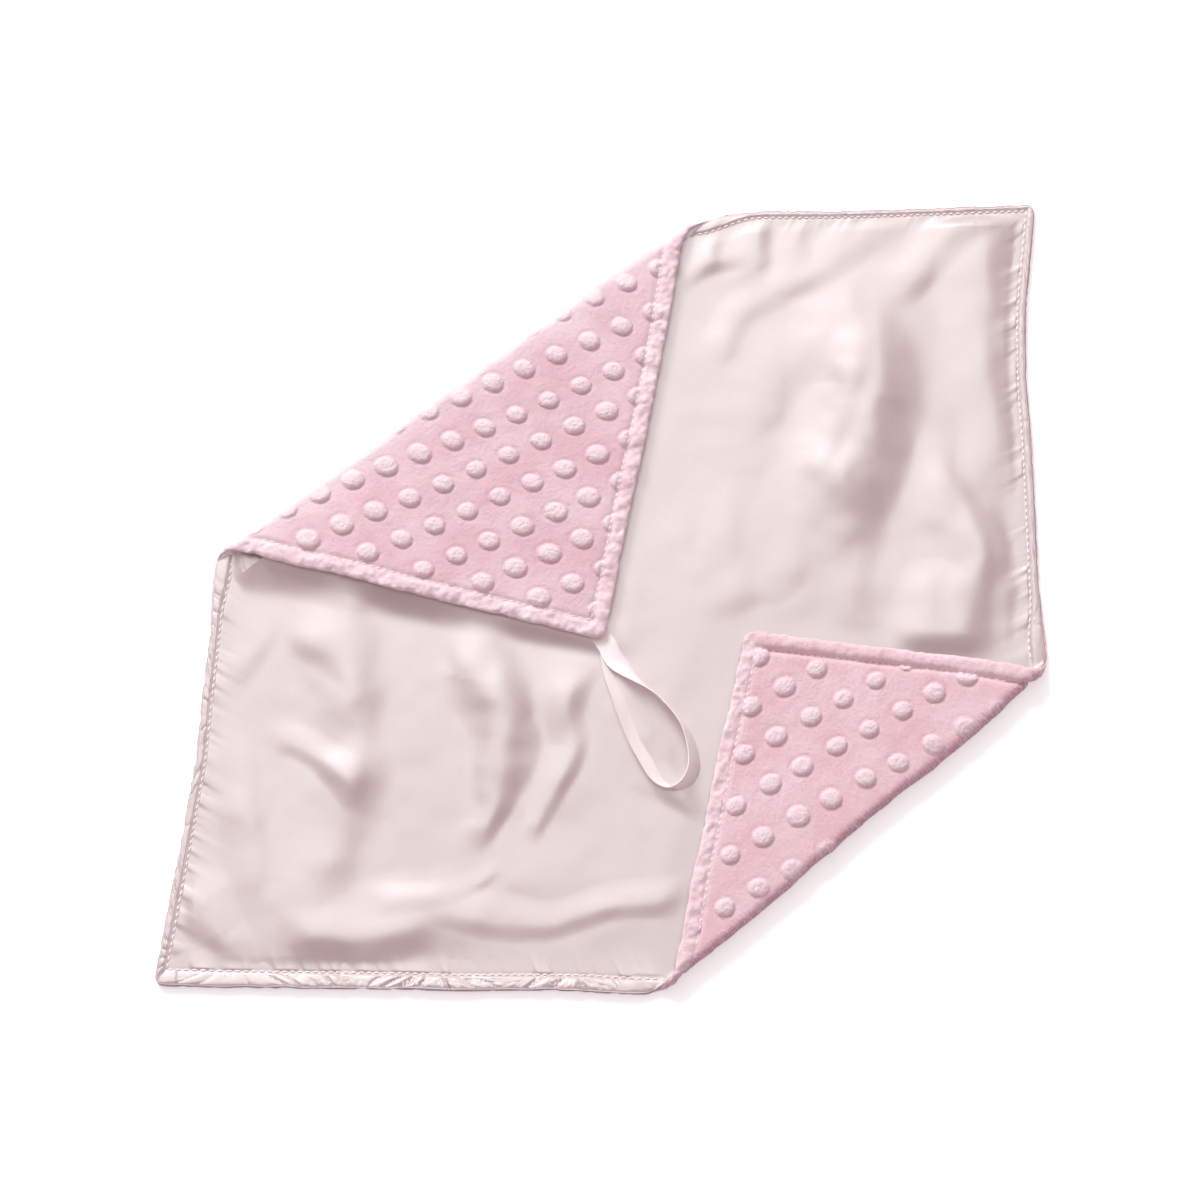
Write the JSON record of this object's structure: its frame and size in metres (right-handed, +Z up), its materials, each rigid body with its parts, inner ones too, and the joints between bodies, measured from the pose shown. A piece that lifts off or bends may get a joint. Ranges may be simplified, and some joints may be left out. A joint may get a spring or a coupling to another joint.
{
  "type": "comfort blanket lovey",
  "caption": "Square comfort blanket with a satin front, a dotted plush back and a ribbon loop, lying with opposite corners folded over.",
  "frame": {"origin": "middle of the laid blanket's box, on the surface it lies on", "axes": "+Z up out of the satin side; +X to the right and +Y away from the viewer as pictured"},
  "size_m": [0.4292, 0.398, 0.0102],
  "materials": {
    "plush": "soft pink dotted pile",
    "satin": "pale pink satin",
    "ribbon": "pale pink satin ribbon"
  },
  "bodies": {
    "centre": {"plush_centre": "plush", "satin_centre": "satin"},
    "loop_corner": {"plush_loop_corner": "plush", "satin_loop_corner": "satin", "ribbon_tail_upper": "ribbon", "ribbon_tail_lower": "ribbon"},
    "plain_corner": {"plush_plain_corner": "plush", "satin_plain_corner": "satin"},
    "ribbon": {"ribbon_loop": "ribbon"}
  },
  "joints": [
    {"name": "loop_corner_fold", "type": "hinge", "parent": "centre", "child": "loop_corner", "pos_m": [-0.07668, 0.10386, 0.0045], "axis": [-0.8073, -0.5902, 0], "range_deg": [0, 175]},
    {"name": "plain_corner_fold", "type": "hinge", "parent": "centre", "child": "plain_corner", "pos_m": [0.11872, -0.11894, 0.0045], "axis": [0.7632, 0.6462, 0], "range_deg": [0, 180]},
    {"name": "ribbon_swing", "type": "hinge", "parent": "loop_corner", "child": "ribbon", "pos_m": [-0.00136, -0.03004, 0.0049], "axis": [-0.8427, -0.5384, 0], "range_deg": [0, 130]}
  ]
}
